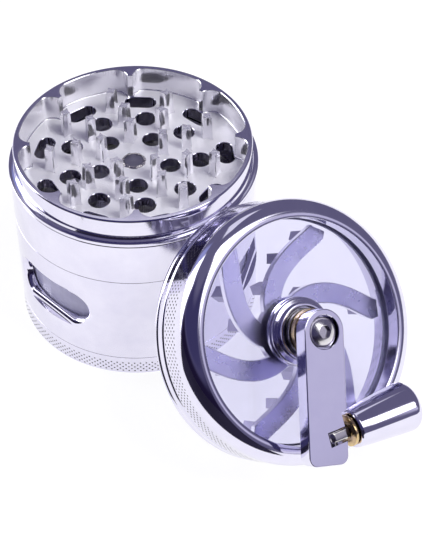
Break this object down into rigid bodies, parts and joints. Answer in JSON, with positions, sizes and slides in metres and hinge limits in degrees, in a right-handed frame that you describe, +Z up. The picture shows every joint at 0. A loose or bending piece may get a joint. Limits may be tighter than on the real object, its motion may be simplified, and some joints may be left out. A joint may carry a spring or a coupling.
{
  "type": "hand-crank grinder",
  "caption": "Hand-crank stacking herb grinder, open: toothed chamber on a sieve ring, side-window ring and tray, with its clear-windowed crank lid leaning beside it.",
  "frame": {"origin": "centre of the flat underside of the tray, on the table", "axes": "+Z up along the stack's axis; the open lid leans towards +X and -Y"},
  "size_m": [0.0977, 0.1118, 0.0581],
  "materials": {
    "polished_zinc": "bright chrome plating on die-cast zinc",
    "cast_zinc": "plated casting with a fine grainy skin",
    "steel": "turned steel",
    "brass": "turned brass",
    "clear_plastic": "clear, polished",
    "steel_mesh": "woven stainless wire cloth",
    "magnet": "nickel-plated magnet",
    "gasket": "plain ring"
  },
  "bodies": {
    "tray": {"kief_tray": "polished_zinc"},
    "window_carrier": {"window_sleeve": "clear_plastic"},
    "window_ring": {"window_ring": "polished_zinc"},
    "sieve_carrier": {"mesh_screen": "steel_mesh"},
    "sieve_ring": {"sieve_ring": "polished_zinc", "screen_ring": "steel"},
    "chamber_carrier": {"chamber_magnet": "magnet"},
    "chamber": {"grinding_chamber": "cast_zinc"},
    "lid": {"lid_shell": "polished_zinc", "lid_window": "clear_plastic", "window_retainer": "gasket", "hub_bush": "polished_zinc", "bush_nut": "steel"},
    "crank": {"shaft": "steel", "steel_washer": "steel", "brass_washer": "brass", "rotor": "cast_zinc", "rotor_magnet": "magnet", "crank_arm": "polished_zinc", "crank_screw": "steel", "fold_pin": "steel"},
    "knob_stud": {"knob_stud": "steel", "knob_washer": "brass"},
    "knob": {"knob": "polished_zinc"}
  },
  "joints": [
    {"name": "window_ring_rise", "type": "slide", "parent": "tray", "child": "window_carrier", "axis": [0, 0, 1], "range_m": [0, 0.00501]},
    {"name": "window_ring_unscrew", "type": "hinge", "parent": "window_carrier", "child": "window_ring", "pos_m": [0, 0, 0.0063], "axis": [0, 0, 1], "range_deg": [0, 900]},
    {"name": "sieve_ring_rise", "type": "slide", "parent": "window_ring", "child": "sieve_carrier", "axis": [0, 0, 1], "range_m": [0, 0.00501]},
    {"name": "sieve_ring_unscrew", "type": "hinge", "parent": "sieve_carrier", "child": "sieve_ring", "pos_m": [0, 0, 0.0338], "axis": [0, 0, 1], "range_deg": [0, 900]},
    {"name": "chamber_rise", "type": "slide", "parent": "sieve_ring", "child": "chamber_carrier", "axis": [0, 0, 1], "range_m": [0, 0.00501]},
    {"name": "chamber_unscrew", "type": "hinge", "parent": "chamber_carrier", "child": "chamber", "pos_m": [0, 0, 0.046], "axis": [0, 0, 1], "range_deg": [0, 900]},
    {"name": "lid_lift", "type": "slide", "parent": "tray", "child": "lid", "axis": [0, 0, 1], "range_m": [0, 0.08]},
    {"name": "crank_turn", "type": "hinge", "parent": "lid", "child": "crank", "pos_m": [0.03861, -0.05141, 0.03481], "axis": [0.4493, -0.6308, 0.6327], "continuous": true},
    {"name": "knob_fold", "type": "hinge", "parent": "crank", "child": "knob_stud", "pos_m": [0.04338, -0.07243, 0.02074], "axis": [0.22, -0.6083, -0.7626], "range_deg": [0, 90]},
    {"name": "knob_spin", "type": "hinge", "parent": "knob_stud", "child": "knob", "pos_m": [0.04338, -0.07243, 0.02074], "axis": [0.8659, 0.4818, -0.1345], "continuous": true}
  ],
  "couplings": [
    {"joint": "window_ring_rise", "follows": "window_ring_unscrew", "m_per_rad": 0.00031831},
    {"joint": "sieve_ring_rise", "follows": "sieve_ring_unscrew", "m_per_rad": 0.00031831},
    {"joint": "chamber_rise", "follows": "chamber_unscrew", "m_per_rad": 0.00031831}
  ]
}
